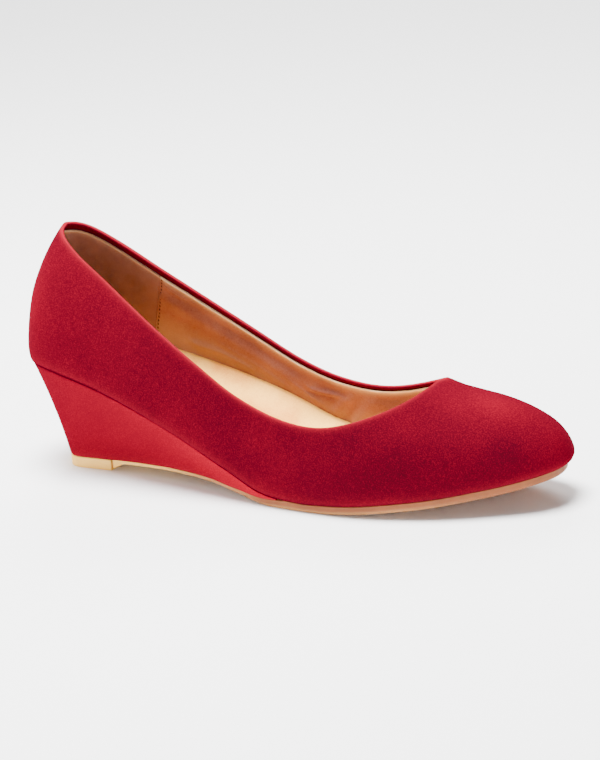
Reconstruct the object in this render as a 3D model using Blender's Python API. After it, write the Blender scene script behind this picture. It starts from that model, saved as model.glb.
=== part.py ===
"""Women's wedge pump for the right foot: rounded toe, low rounded throat, covered wedge heel.

+X runs from the heel to the toe, +Y to the inner side of the foot and +Z up from the floor.
Lengths are in metres. The origin is on the floor, in the middle of the shoe's own box.
"""

from collections import namedtuple
import math

import bmesh
import bpy
import numpy as np

# Driving sizes
LENGTH = 0.240
BALL_WIDTH = 0.076
SEAT_HEIGHT = 0.045
INSTEP_RISE = 0.065
COLLAR_RISE = 0.060
THROAT_REACH = 0.187
UPPER_WALL = 0.002
INSOLE_THICKNESS = 0.003
SOLE_THICKNESS = 0.0033
SHANK_SOLE_THICKNESS = 0.0013
TOP_PIECE_THICKNESS = 0.0047
TOP_PIECE_LENGTH = 0.0246
TOP_PIECE_WIDTH = 0.035
TOP_PIECE_CORNER = 0.010
HEEL_UNDERCUT = 0.0165
WEDGE_REACH = 0.131
WEDGE_HOLLOW = 0.0008
TREAD_END = 0.150
ARCH_RISE = 0.0047
SOLE_INSET = 0.0004
CLEARANCE = 0.0003
INSOLE_CLEARANCE = 0.00045

# Form of the last
BACK_CURVE = 0.022
BACK_LEAN = 0.006
TOE_SLOPE = 0.066
TUCK = math.radians(15)
SIDE_DROP = 0.065
SIDE_REACH = 0.5
HEEL_POWER = 1.30
TOE_POWER = 1.13
INNER_DROP = 0.0017
CORNER_SQUARENESS = 2.6
RAMP_SLOPE = 0.5
RAMP_START = 0.0005
SOLE_SWELL = 0.026

# Fineness of the meshes
RIBS = 48
LEVELS = 10
CORNER_RIBS = 10

# A section is a rib of the last: turn is its angle round the foot, 0 at the heel and 180 at the toe.
# Half widths are shares of BALL_WIDTH, feather of SEAT_HEIGHT above the floor, rise of INSTEP_RISE.
# Taper is how fast the rib closes towards the ridge.
Section = namedtuple("Section", "turn outer inner feather rise taper")
SECTIONS = (
    Section(0, 0.000, 0.000, 1.030, 1.01, 0.70),
    Section(18, 0.247, 0.226, 1.032, 0.95, 0.75),
    Section(36, 0.383, 0.338, 1.009, 0.93, 1.05),
    Section(54, 0.418, 0.362, 0.853, 0.96, 1.25),
    Section(72, 0.459, 0.385, 0.564, 1.04, 1.28),
    Section(84, 0.489, 0.398, 0.302, 1.10, 1.26),
    Section(92, 0.511, 0.408, 0.129, 1.13, 1.24),
    Section(100, 0.529, 0.416, 0.078, 1.09, 1.22),
    Section(108, 0.537, 0.424, 0.087, 0.98, 1.20),
    Section(126, 0.455, 0.430, 0.156, 0.755, 1.16),
    Section(144, 0.290, 0.382, 0.242, 0.565, 1.14),
    Section(162, 0.123, 0.287, 0.311, 0.48, 1.12),
    Section(180, -0.078, 0.079, 0.324, 0.465, 1.10),
)

# The topline seen from the side: share of the way from the back to THROAT_REACH,
# and its height as a share of COLLAR_RISE, above a curve that falls from the heel seat to the floor.
Topline = namedtuple("Topline", "share rise")
TOPLINE = (
    Topline(0.0, 1.07),
    Topline(0.1, 1.105),
    Topline(0.2, 1.048),
    Topline(0.3, 0.955),
    Topline(0.4, 0.85),
    Topline(0.5, 0.74),
    Topline(0.6, 0.625),
    Topline(0.7, 0.56),
    Topline(0.8, 0.56),
    Topline(0.9, 0.64),
    Topline(1.0, 0.77),
)

# The underside behind the ball: share of LENGTH, height as a share of ARCH_RISE, and how far the edge
# has spread from the width of the top piece to the feather edge.
Shank = namedtuple("Shank", "share height spread")
SHANK = (
    Shank(0.17, 0.72, 0.00),
    Shank(0.24, 0.88, 0.15),
    Shank(0.32, 1.00, 0.38),
    Shank(0.40, 0.84, 0.60),
    Shank(0.46, 0.44, 0.80),
    Shank(0.51, 0.05, 0.95),
    Shank(0.55, 0.00, 1.00),
)


def column(table, name):
    """One named column of a table, as an array."""
    return np.array([getattr(row, name) for row in table], float)


def smooth(shares, values, at):
    """A smooth curve through the table's values, read at one place."""
    at = min(max(at, shares[0]), shares[-1])
    run = np.diff(shares)
    slope = np.diff(values) / run
    tangent = np.empty(len(values))
    tangent[1:-1] = (slope[:-1] * run[1:] + slope[1:] * run[:-1]) / (run[1:] + run[:-1])
    tangent[0] = 2 * slope[0] - tangent[1]
    tangent[-1] = 2 * slope[-1] - tangent[-2]
    i = int(min(max(np.searchsorted(shares, at) - 1, 0), len(run) - 1))
    t = (at - shares[i]) / run[i]
    start = (2 * t**3 - 3 * t**2 + 1) * values[i] + (t**3 - 2 * t**2 + t) * run[i] * tangent[i]
    end = (3 * t**2 - 2 * t**3) * values[i + 1] + (t**3 - t**2) * run[i] * tangent[i + 1]
    return start + end


def rib_turns(start=0.0, end=math.pi):
    """The turns of the ribs that every piece shares, from one end to the other."""
    between = [math.pi * i / RIBS for i in range(RIBS + 1)]
    margin = math.pi / RIBS / 4  # keeps a rib from lying close to an end
    return [start] + [turn for turn in between if start + margin < turn < end - margin] + [end]


def section(turn, name):
    """One column of the last's sections, read at any turn round the foot."""
    return smooth(column(SECTIONS, "turn"), column(SECTIONS, name), math.degrees(turn))


def last_point(turn, level, side):
    """A point on the last. Level is -TUCK at the feather edge and a right angle at the ridge.

    The wall stands nearly upright down to a low corner, where it is tucked in to the feather edge.
    """
    along = (1 - math.cos(turn)) / 2
    power = HEEL_POWER + (TOE_POWER - HEEL_POWER) * turn / math.pi
    up = math.copysign(abs(math.sin(level)) ** power, level)
    low = math.sin(TUCK) ** power
    back = BACK_CURVE * (1 - math.cos(level) ** HEEL_POWER) + BACK_LEAN * max(up, 0) ** 2
    front = LENGTH - TOE_SLOPE * (1 - math.cos(level) ** TOE_POWER)
    outer = section(turn, "outer") * BALL_WIDTH
    inner = section(turn, "inner") * BALL_WIDTH
    out = math.cos(level) ** section(turn, "taper")
    x = back + along * (front - back)
    y = (inner - outer) / 2 + side * (inner + outer) / 2 * out
    share = (up + low) / (1 + low)
    reach = min(share / SIDE_REACH, 1)
    share -= SIDE_DROP * 27 / 4 * reach * (1 - reach) ** 2  # 27/4 makes the drop SIDE_DROP at its lowest
    z = section(turn, "feather") * SEAT_HEIGHT + section(turn, "rise") * INSTEP_RISE * share
    return np.array([x, y, z])


def turn_at(x):
    """The turn of the rib whose feather edge is at this place along the shoe."""
    back = last_point(0, -TUCK, 1)[0]
    front = last_point(math.pi, -TUCK, 1)[0]
    along = min(max((x - back) / (front - back), 0), 1)
    return math.acos(1 - 2 * along)


def feather_height(x):
    """Height of the feather edge above the floor."""
    return section(turn_at(x), "feather") * SEAT_HEIGHT


def topline_height(turn, x, side):
    """Height of the topline above the floor at this place along the shoe, a little lower inside."""
    share = min(max(x / THROAT_REACH, 0), 1)
    rise = smooth(column(TOPLINE, "share"), column(TOPLINE, "rise"), share)
    drop = INNER_DROP * math.sin(turn) if side > 0 else 0
    return rise * COLLAR_RISE + SEAT_HEIGHT * (1 - share) ** 2 - drop


def topline_level(turn, side):
    """The level at which a rib reaches the topline."""
    low, high = -TUCK, math.pi / 2
    for _ in range(30):
        middle = (low + high) / 2
        x, _, z = last_point(turn, middle, side)
        if z > topline_height(turn, x, side):
            high = middle
        else:
            low = middle
    return (low + high) / 2


def feather_side(turns, side, inset=0.0):
    """Points of one side's feather edge, moved in by the inset at right angles to the edge."""
    step = math.pi / 720
    points = []
    for turn in turns:
        here = last_point(turn, -TUCK, side)
        ahead = last_point(min(turn + step, math.pi), -TUCK, side)
        behind = last_point(max(turn - step, 0), -TUCK, side)
        run, rise = (ahead - behind)[:2]
        if turn <= 0 or turn >= math.pi:
            run = 0.0
        span = math.hypot(run, rise)
        here[0] += side * inset * rise / span
        here[1] -= side * inset * run / span
        points.append(here)
    return points


def sole_half_width(x, side):
    """Half width of the underside, from the top piece out to the feather edge at the ball."""
    spread = smooth(column(SHANK, "share"), column(SHANK, "spread"), x / LENGTH)
    edge = feather_side([turn_at(x)], side, SOLE_INSET)[0][1]
    return (1 - spread) * side * TOP_PIECE_WIDTH / 2 + spread * edge


def rounded_half_width(x, side):
    """Half width of the underside with the rounded corners of the heel."""
    reach = min(max((x - HEEL_UNDERCUT) / TOP_PIECE_CORNER, 0), 1)
    corner = (1 - (1 - reach) ** CORNER_SQUARENESS) ** (1 / CORNER_SQUARENESS)
    return corner * sole_half_width(x, side)


def arch_height(x):
    """Height of the arch above the floor, down to nothing at the ball."""
    return max(smooth(column(SHANK, "share"), column(SHANK, "height"), x / LENGTH), 0) * ARCH_RISE


def sole_bottom(x):
    """Underside of the outsole: a ramp in front of the top piece, the arch, the flat tread, the toe spring."""
    if x > TREAD_END:
        return max(feather_height(x) - CLEARANCE - SOLE_THICKNESS, 0)
    ramp = RAMP_START + RAMP_SLOPE * (x - HEEL_UNDERCUT - TOP_PIECE_LENGTH)
    return min(arch_height(x), ramp)


def sole_top(x):
    """Upper face of the outsole: thin under the wedge and full under the forefoot."""
    under_upper = feather_height(x) - CLEARANCE
    if x > WEDGE_REACH + SOLE_THICKNESS:
        return under_upper
    swell = min(max(1 - (WEDGE_REACH - x) / SOLE_SWELL, 0), 1)
    thick = SHANK_SOLE_THICKNESS + (SOLE_THICKNESS - SHANK_SOLE_THICKNESS) * swell
    return min(under_upper, arch_height(x) + thick)


def material(name, colour, roughness):
    """A plain material in the piece's colour."""
    made = bpy.data.materials.new(name)
    made.use_nodes = True
    shader = made.node_tree.nodes["Principled BSDF"]
    shader.inputs["Base Color"].default_value = (*colour, 1)
    shader.inputs["Roughness"].default_value = roughness
    return made


def place(name, bm, made):
    """Link a mesh as one named object with smooth faces."""
    mesh = bpy.data.meshes.new(name)
    bm.to_mesh(mesh)
    bm.free()
    mesh.shade_smooth()
    mesh.set_sharp_from_angle(angle=math.radians(35))
    mesh.materials.append(made)
    piece = bpy.data.objects.new(name, mesh)
    bpy.context.scene.collection.objects.link(piece)
    return piece


def layered_solid(layers):
    """A closed solid from layers, low to high. A layer is an outer and an inner edge, heel to toe."""
    bm = bmesh.new()
    loops = []
    for outer, inner in layers:
        loops.append([bm.verts.new(point) for point in [*outer, *reversed(inner)]])
    for low, high in zip(loops, loops[1:]):
        for i in range(len(low)):
            after = (i + 1) % len(low)
            bm.faces.new((low[i], low[after], high[after], high[i]))
    bottom, top = loops[0], loops[-1]
    for i in range(len(top) // 2 - 1):
        across, after = -1 - i, -2 - i
        bm.faces.new((top[i], top[i + 1], top[after], top[across]))
        bm.faces.new((bottom[across], bottom[after], bottom[i + 1], bottom[i]))
    bmesh.ops.remove_doubles(bm, verts=bm.verts[:], dist=CLEARANCE / 100)
    return bm


def build_upper():
    """The upper: a hollow skin from the feather edge to the topline, thickened inwards."""
    turns = rib_turns()
    around = [(turn, -1) for turn in turns] + [(turn, 1) for turn in turns[-2:0:-1]]
    bm = bmesh.new()
    ribs = []
    for turn, side in around:
        top = topline_level(turn, side)
        levels = [-TUCK + (top + TUCK) * j / LEVELS for j in range(LEVELS + 1)]
        ribs.append([bm.verts.new(last_point(turn, level, side)) for level in levels])
    for rib, after in zip(ribs, ribs[1:] + ribs[:1]):
        for j in range(LEVELS):
            bm.faces.new((rib[j], after[j], after[j + 1], rib[j + 1]))
    upper = place("upper", bm, material("red_suede", (0.45, 0.015, 0.03), 0.9))
    wall = upper.modifiers.new("wall", "SOLIDIFY")
    wall.thickness = UPPER_WALL
    wall.offset = -1
    wall.use_even_offset = True
    return upper


def build_insole():
    """The insole board inside the upper's wall, from the heel seat to the toe."""
    inset = UPPER_WALL + INSOLE_CLEARANCE
    outer, inner = (feather_side(rib_turns(), side, inset) for side in (-1, 1))
    layers = []
    for lift in (0, INSOLE_THICKNESS):
        layers.append([[(x, y, feather_height(x) + lift) for x, y, _ in edge] for edge in (outer, inner)])
    return place("insole", layered_solid(layers), material("tan_lining", (0.5, 0.25, 0.11), 0.5))


def build_wedge():
    """The covered wedge: from the feather edge in and forward to the top piece, tapering at the ball."""
    turns = rib_turns(end=turn_at(WEDGE_REACH))
    top, middle, bottom = [], [], []
    for side in (-1, 1):
        high_edge, middle_edge, low_edge = [], [], []
        for x, y, _ in feather_side(turns, side, SOLE_INSET):
            low_x = HEEL_UNDERCUT + x * (WEDGE_REACH - HEEL_UNDERCUT) / WEDGE_REACH
            low_z = sole_top(low_x) + CLEARANCE
            if low_x < HEEL_UNDERCUT + TOP_PIECE_LENGTH:
                low_z = TOP_PIECE_THICKNESS + CLEARANCE
            high = np.array([x, y, feather_height(x) - CLEARANCE])
            low = np.array([low_x, rounded_half_width(low_x, side), low_z])
            hollow = WEDGE_HOLLOW * (high[2] - low[2]) / SEAT_HEIGHT
            centre = np.array([WEDGE_REACH / 2, 0, 0])
            inward = (centre - high) * (1, 1, 0)
            middle_edge.append((high + low) / 2 + inward * hollow / np.linalg.norm(inward))
            high_edge.append(high)
            low_edge.append(low)
        top.append(high_edge)
        middle.append(middle_edge)
        bottom.append(low_edge)
    return place("wedge", layered_solid([bottom, middle, top]), material("red_suede_wedge", (0.45, 0.015, 0.03), 0.9))


def build_outsole():
    """The outsole: thin along the arch, full under the forefoot, flat where it meets the floor."""
    turns = rib_turns(start=turn_at(HEEL_UNDERCUT + TOP_PIECE_LENGTH + CLEARANCE))
    bottom, top = [], []
    for side in (-1, 1):
        edge = [(x, y) for x, y, _ in feather_side(turns, side, SOLE_INSET)]
        edge = [(x, sole_half_width(x, side) if x < WEDGE_REACH else y) for x, y in edge]
        bottom.append([(x, y, sole_bottom(x)) for x, y in edge])
        top.append([(x, y, sole_top(x)) for x, y in edge])
    return place("outsole", layered_solid([bottom, top]), material("tan_sole", (0.6, 0.36, 0.18), 0.6))


def build_top_piece():
    """The top piece: a block with a straight front and two rounded corners at the back."""
    reaches = [1 - math.cos(math.pi / 2 * i / CORNER_RIBS) for i in range(CORNER_RIBS + 1)]
    layers = []
    for z in (0, TOP_PIECE_THICKNESS):
        layer = []
        for side in (-1, 1):
            places = [HEEL_UNDERCUT + TOP_PIECE_LENGTH * reach for reach in reaches]
            layer.append([(x, rounded_half_width(x, side), z) for x in places])
        layers.append(layer)
    return place("top_piece", layered_solid(layers), material("beige_rubber", (0.75, 0.55, 0.35), 0.6))


def centre_on_floor(pieces):
    """Move every piece so that the origin is on the floor in the middle of the whole box."""
    corners = np.array([vertex.co for piece in pieces for vertex in piece.data.vertices])
    middle = (corners.min(axis=0) + corners.max(axis=0)) / 2
    for piece in pieces:
        piece.location = (-middle[0], -middle[1], 0)


for old in list(bpy.data.objects):
    bpy.data.objects.remove(old)
centre_on_floor([build_upper(), build_insole(), build_wedge(), build_outsole(), build_top_piece()])
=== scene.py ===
"""Looks of the women's red suede wedge pump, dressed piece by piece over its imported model."""

from collections import namedtuple
import math

import bmesh
import bpy
import numpy as np
from mathutils import Matrix, Vector


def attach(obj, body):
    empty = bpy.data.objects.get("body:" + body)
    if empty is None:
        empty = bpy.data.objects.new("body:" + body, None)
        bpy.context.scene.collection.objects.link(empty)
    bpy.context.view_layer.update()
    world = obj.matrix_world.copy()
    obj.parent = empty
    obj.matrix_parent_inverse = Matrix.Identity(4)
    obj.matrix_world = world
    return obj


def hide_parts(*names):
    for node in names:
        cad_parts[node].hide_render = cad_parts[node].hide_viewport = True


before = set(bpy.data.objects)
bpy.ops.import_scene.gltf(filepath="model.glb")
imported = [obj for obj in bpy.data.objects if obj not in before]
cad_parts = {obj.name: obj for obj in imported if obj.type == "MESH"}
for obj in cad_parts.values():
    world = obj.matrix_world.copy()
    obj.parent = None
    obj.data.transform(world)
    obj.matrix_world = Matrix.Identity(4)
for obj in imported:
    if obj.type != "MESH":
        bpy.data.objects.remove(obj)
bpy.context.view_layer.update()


# The upper is one skin of red imitation suede, lasted over the foot's shape and turned under at its
# feather edge. Along the topline it is skived, folded over a cord of tape and turned down inside.
LENGTH = 0.240
BALL_WIDTH = 0.076
SEAT_HEIGHT = 0.045
INSTEP_RISE = 0.065
COLLAR_RISE = 0.060
THROAT_REACH = 0.187
BACK_CURVE = 0.022
BACK_LEAN = 0.006
TOE_SLOPE = 0.066
TUCK = math.radians(15)
SIDE_DROP = 0.065
SIDE_REACH = 0.5
HEEL_POWER = 1.30
TOE_POWER = 1.13
INNER_DROP = 0.0017
SHOE_PLACE = (-0.1199097, 0.0039381, 0.0)  # the back of the shoe's own frame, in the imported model's

SUEDE_WALL = 0.0012
RIM_HALF = 0.0010
RIM_ROUND = 0.0006
FEATHER_ROUND = 0.0006
FEATHER_HALF = 0.0006
SUEDE_RIBS = 420
SUEDE_ROWS = 46
INSIDE_ROWS = 8
RIM_ROWS = 11
FEATHER_ROWS = 7
FOLD_EASE = 0.001
# Widths of the suede's edge marks: lighter along the feather edge and the rim, partly wear and partly painted
# sheen, and darker with painted shade where the feather edge turns under.
FEATHER_WEAR_AND_PAINTED_SHEEN = 0.0022
FEATHER_SHADE = 0.0006
RIM_WEAR_AND_PAINTED_SHEEN = 0.0009
SKIN_DEPTH = 0.0015  # what lies deeper is the suede's inner side, which gets no wear or painted light
MERGE = 0.000002

# Rows of the fold inside the topline: shares of its way down, and how deep each lies under the skin.
FOLD_ROWS = ((0.40, 0.00185), (0.62, 0.00165), (0.80, 0.0014), (0.92, 0.00115), (1.1, 0.0011))

# Half widths are shares of BALL_WIDTH, feather of SEAT_HEIGHT, rise of INSTEP_RISE. Turn is the angle
# round the foot, 0 at the heel and 180 at the toe, and taper how fast a rib closes towards the ridge.
Section = namedtuple("Section", "turn outer inner feather rise taper")
SECTIONS = (
    Section(0, 0.000, 0.000, 1.030, 1.01, 0.70),
    Section(18, 0.247, 0.226, 1.032, 0.95, 0.75),
    Section(36, 0.383, 0.338, 1.009, 0.93, 1.05),
    Section(54, 0.418, 0.362, 0.853, 0.96, 1.25),
    Section(72, 0.459, 0.385, 0.564, 1.04, 1.28),
    Section(84, 0.489, 0.398, 0.302, 1.10, 1.26),
    Section(92, 0.511, 0.408, 0.129, 1.13, 1.24),
    Section(100, 0.529, 0.416, 0.078, 1.09, 1.22),
    Section(108, 0.537, 0.424, 0.087, 0.98, 1.20),
    Section(126, 0.455, 0.430, 0.156, 0.755, 1.16),
    Section(144, 0.290, 0.382, 0.242, 0.565, 1.14),
    Section(162, 0.123, 0.287, 0.311, 0.48, 1.12),
    Section(180, -0.078, 0.079, 0.324, 0.465, 1.10),
)
Topline = namedtuple("Topline", "share rise")
TOPLINE = (
    Topline(0.0, 1.07),
    Topline(0.1, 1.105),
    Topline(0.2, 1.048),
    Topline(0.3, 0.955),
    Topline(0.4, 0.85),
    Topline(0.5, 0.74),
    Topline(0.6, 0.625),
    Topline(0.7, 0.56),
    Topline(0.8, 0.56),
    Topline(0.9, 0.64),
    Topline(1.0, 0.77),
)

# How far the topline is turned down inside, by its share of the way from the heel to the toe.
Fold = namedtuple("Fold", "share depth")
FOLDS = (
    Fold(0.0, 0.0038),
    Fold(0.15, 0.0040),
    Fold(0.30, 0.0033),
    Fold(0.50, 0.0025),
    Fold(0.65, 0.0020),
    Fold(1.0, 0.0020),
)

# Soft hollows and swells pressed into the skin in wear and lasting: where they lie round the foot in
# degrees (0 heel, 180 toe, 270 inner side), how far below the topline, their half sizes round the foot
# and down the rib, how far they slant in degrees a metre, and their height, below nothing for a hollow.
Swell = namedtuple("Swell", "around down wide tall slant height")
SUEDE_SWELLS = (
    Swell(180, 0.000, 24, 0.0045, 0, 0.0004),
    Swell(181, 0.015, 24, 0.0095, 0, -0.0010),
    Swell(176, 0.038, 20, 0.0140, 0, 0.0003),
    Swell(96, 0.010, 14, 0.0080, 0, -0.0004),
    Swell(118, 0.016, 12, 0.0100, 0, 0.0004),
    Swell(140, 0.012, 9, 0.0090, 400, -0.0004),
    Swell(150, 0.030, 14, 0.0120, 0, 0.0003),
    Swell(40, 0.022, 12, 0.0140, 0, -0.0003),
    Swell(68, 0.030, 10, 0.0120, 0, 0.0003),
    Swell(262, 0.012, 14, 0.0090, 0, -0.0004),
    Swell(240, 0.018, 12, 0.0100, 0, 0.0003),
    Swell(222, 0.012, 9, 0.0080, 0, -0.0003),
    Swell(318, 0.024, 12, 0.0140, 0, -0.0003),
)

# Patches where the suede is darker, below nothing, or lighter: partly the lie of its nap, partly painted
# shade and painted light.
NAP_AND_PAINTED_LIGHT_PATCHES = (
    Swell(118, 0.024, 20, 0.013, 0, -0.15),
    Swell(142, 0.045, 18, 0.013, 0, -0.11),
    Swell(160, 0.053, 15, 0.010, 0, -0.05),
    Swell(111, 0.006, 14, 0.010, 0, -0.07),
    Swell(62, 0.022, 14, 0.014, 0, 0.04),
    Swell(20, 0.034, 16, 0.024, 0, 0.22),
    Swell(152, 0.012, 14, 0.010, 0, 0.07),
    Swell(168, 0.033, 17, 0.013, 0, 0.20),
    Swell(178, 0.058, 12, 0.008, 0, 0.08),
    Swell(244, 0.026, 18, 0.012, 0, -0.09),
    Swell(216, 0.046, 14, 0.012, 0, -0.09),
    Swell(330, 0.030, 14, 0.020, 0, 0.08),
)


def column(table, name):
    """One named column of a table."""
    return np.array([getattr(row, name) for row in table], float)


def smooth(shares, values, at):
    """A smooth curve through a table's values, read at many places."""
    at = np.clip(at, shares[0], shares[-1])
    run = np.diff(shares)
    slope = np.diff(values) / run
    tangent = np.empty(len(values))
    tangent[1:-1] = (slope[:-1] * run[1:] + slope[1:] * run[:-1]) / (run[1:] + run[:-1])
    tangent[0] = 2 * slope[0] - tangent[1]
    tangent[-1] = 2 * slope[-1] - tangent[-2]
    i = np.clip(np.searchsorted(shares, at) - 1, 0, len(run) - 1)
    t = (at - shares[i]) / run[i]
    start = (2 * t**3 - 3 * t**2 + 1) * values[i] + (t**3 - 2 * t**2 + t) * run[i] * tangent[i]
    end = (3 * t**2 - 2 * t**3) * values[i + 1] + (t**3 - t**2) * run[i] * tangent[i + 1]
    return start + end


def section(turn, name):
    """One column of the last's sections, read at turns round the foot."""
    return smooth(column(SECTIONS, "turn"), column(SECTIONS, name), np.degrees(turn))


def last_point(turn, level, side):
    """Points on the last. Level is -TUCK at the feather edge and a right angle at the ridge."""
    along = (1 - np.cos(turn)) / 2
    power = HEEL_POWER + (TOE_POWER - HEEL_POWER) * turn / math.pi
    up = np.copysign(np.abs(np.sin(level)) ** power, level)
    low = math.sin(TUCK) ** power
    back = BACK_CURVE * (1 - np.cos(level) ** HEEL_POWER) + BACK_LEAN * np.maximum(up, 0) ** 2
    front = LENGTH - TOE_SLOPE * (1 - np.cos(level) ** TOE_POWER)
    outer = section(turn, "outer") * BALL_WIDTH
    inner = section(turn, "inner") * BALL_WIDTH
    out = np.cos(level) ** section(turn, "taper")
    x = back + along * (front - back)
    y = (inner - outer) / 2 + side * (inner + outer) / 2 * out
    share = (up + low) / (1 + low)
    reach = np.minimum(share / SIDE_REACH, 1)
    share = share - SIDE_DROP * 27 / 4 * reach * (1 - reach) ** 2
    z = section(turn, "feather") * SEAT_HEIGHT + section(turn, "rise") * INSTEP_RISE * share
    return np.stack(np.broadcast_arrays(x, y, z), axis=-1)


def around_point(around, level):
    """Points of the last by their place around it: from the heel by the outer side to the toe and back."""
    around = np.mod(around, 2 * math.pi)
    turn = np.minimum(around, 2 * math.pi - around)
    return last_point(turn, level, np.where(around > math.pi, 1.0, -1.0))


def topline_level(around):
    """The level at which each rib reaches the topline."""
    around = np.mod(around, 2 * math.pi)
    turn = np.minimum(around, 2 * math.pi - around)
    low = np.full_like(around, -TUCK)
    high = np.full_like(around, math.pi / 2)
    for _ in range(32):
        middle = (low + high) / 2
        x, _, z = np.moveaxis(around_point(around, middle), -1, 0)
        share = np.clip(x / THROAT_REACH, 0, 1)
        rise = smooth(column(TOPLINE, "share"), column(TOPLINE, "rise"), share)
        drop = np.where(around > math.pi, INNER_DROP * np.sin(turn), 0)
        above = z > rise * COLLAR_RISE + SEAT_HEIGHT * (1 - share) ** 2 - drop
        high = np.where(above, middle, high)
        low = np.where(above, low, middle)
    return (low + high) / 2


# The last is measured once: for each rib its full way from the topline to the feather edge, and the
# level and the height above the feather edge at even shares of that way.
RIB_STEPS = 720
WAY_STEPS = 120
rib_arounds = np.linspace(0, 2 * math.pi, RIB_STEPS + 1)
rib_levels = topline_level(rib_arounds)[:, None] * np.linspace(1, 0, WAY_STEPS + 1)
rib_levels = rib_levels - TUCK * np.linspace(0, 1, WAY_STEPS + 1)
rib_points = around_point(rib_arounds[:, None], rib_levels)
rib_ways = np.linalg.norm(np.diff(rib_points, axis=1), axis=-1)
rib_ways = np.concatenate([np.zeros((RIB_STEPS + 1, 1)), np.cumsum(rib_ways, axis=1)], axis=1)
rib_full = rib_ways[:, -1]
way_shares = np.linspace(0, 1, WAY_STEPS + 1)
level_at = np.array([np.interp(way_shares, way / way[-1], rib) for way, rib in zip(rib_ways, rib_levels)])
height_at = around_point(rib_arounds[:, None], level_at)[..., 2]
height_at = height_at - height_at[:, -1:]


def full_way(around):
    """The way along each rib from the topline to the feather edge."""
    return np.interp(np.mod(around, 2 * math.pi), rib_arounds, rib_full)


def measured(table, around, down):
    """A measure of the last, read between its ribs and ways."""
    place = np.mod(around, 2 * math.pi) / (2 * math.pi) * RIB_STEPS
    share = np.clip(down / full_way(around), 0, 1) * WAY_STEPS
    i = np.minimum(place.astype(int), RIB_STEPS - 1)
    j = np.minimum(share.astype(int), WAY_STEPS - 1)
    f, g = place - i, share - j
    near = (1 - g) * table[i, j] + g * table[i, j + 1]
    return (1 - f) * near + f * ((1 - g) * table[i + 1, j] + g * table[i + 1, j + 1])


def down_at_height(around, height):
    """How far below the topline each rib is at this height above its feather edge."""
    low, high = 0 * around, full_way(around)
    for _ in range(24):
        middle = (low + high) / 2
        above = measured(height_at, around, middle) > height
        low = np.where(above, middle, low)
        high = np.where(above, high, middle)
    return (low + high) / 2


def upper_points(around, down, depth):
    """Points of the upper: at a place around it, how far below the topline, how deep under the skin."""
    around, down, depth = np.broadcast_arrays(around, down, depth)
    level = measured(level_at, around, down)
    step = 0.0015
    ahead = around_point(around + step, level) - around_point(around - step, level)
    higher = around_point(around, level + step) - around_point(around, level - step)
    out = np.cross(ahead, higher)
    out /= np.linalg.norm(out, axis=-1, keepdims=True)
    return around_point(around, level) - out * depth[..., None] + np.array(SHOE_PLACE)


def swell_height(swells, around, down):
    """Height of the hollows and swells of a table."""
    height = 0 * (around + down)
    for swell in swells:
        below = down - swell.down
        away = np.degrees(around) - swell.around - swell.slant * below
        height = height + swell.height * np.exp(-((away / swell.wide) ** 2) - (below / swell.tall) ** 2)
    return height


def laid_mesh(name, points, **marks):
    """A closed piece from a grid laid over points, in columns and rows, its meeting edges joined.

    Each mark is a measure of every point that the finish reads, such as its wear and painted light.
    """
    columns, rows = points.shape[0] - 1, points.shape[1] - 1
    bm = bmesh.new()
    bmesh.ops.create_grid(bm, x_segments=columns, y_segments=rows, size=1)
    flat = np.array([vert.co for vert in bm.verts])
    i = np.rint((flat[:, 0] + 1) / 2 * columns).astype(int)
    j = np.rint((flat[:, 1] + 1) / 2 * rows).astype(int)
    for vert, spot in zip(bm.verts, points[i, j]):
        vert.co = spot
    for mark, values in marks.items():
        layer = bm.verts.layers.float.new(mark)
        for vert, value in zip(bm.verts, values[i, j]):
            vert[layer] = value
    bmesh.ops.remove_doubles(bm, verts=bm.verts[:], dist=MERGE)
    bmesh.ops.recalc_face_normals(bm, faces=bm.faces[:])
    return piece_of(name, bm)


def piece_of(name, bm):
    """A bmesh as one smooth piece of the scene."""
    mesh = bpy.data.meshes.new(name)
    bm.to_mesh(mesh)
    bm.free()
    mesh.shade_smooth()
    piece = bpy.data.objects.new(name, mesh)
    bpy.context.scene.collection.objects.link(piece)
    return piece


def fold_depth(around):
    """How far the topline is turned down inside, at each rib."""
    share = (1 - np.cos(around)) / 2
    return np.interp(share, column(FOLDS, "share"), column(FOLDS, "depth"))


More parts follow.
